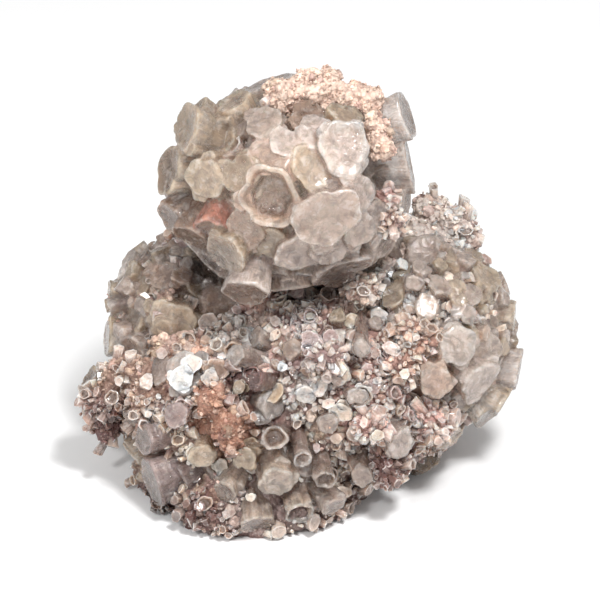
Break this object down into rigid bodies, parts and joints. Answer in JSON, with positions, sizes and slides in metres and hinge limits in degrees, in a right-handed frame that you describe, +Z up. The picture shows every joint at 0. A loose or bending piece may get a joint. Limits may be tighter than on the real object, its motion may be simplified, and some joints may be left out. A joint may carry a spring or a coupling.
{
  "type": "aragonite crystal cluster",
  "caption": "Intergrown aragonite specimen: a ball of stout six-sided twin prisms on a broad mound of smaller ones, broken off flat underneath.",
  "frame": {"origin": "a point near the middle of the flat break that the specimen rests on", "axes": "+Z up, away from the break; -Y towards the viewer's side, where the ball of large crystals leans out; +X to that viewer's right"},
  "size_m": [0.0893, 0.0781, 0.0888],
  "materials": {
    "aragonite": "milky translucent crystal, glossy growth faces, brown and pink between them"
  },
  "bodies": {
    "root": {"aragonite_cluster": "aragonite"}
  },
  "joints": []
}
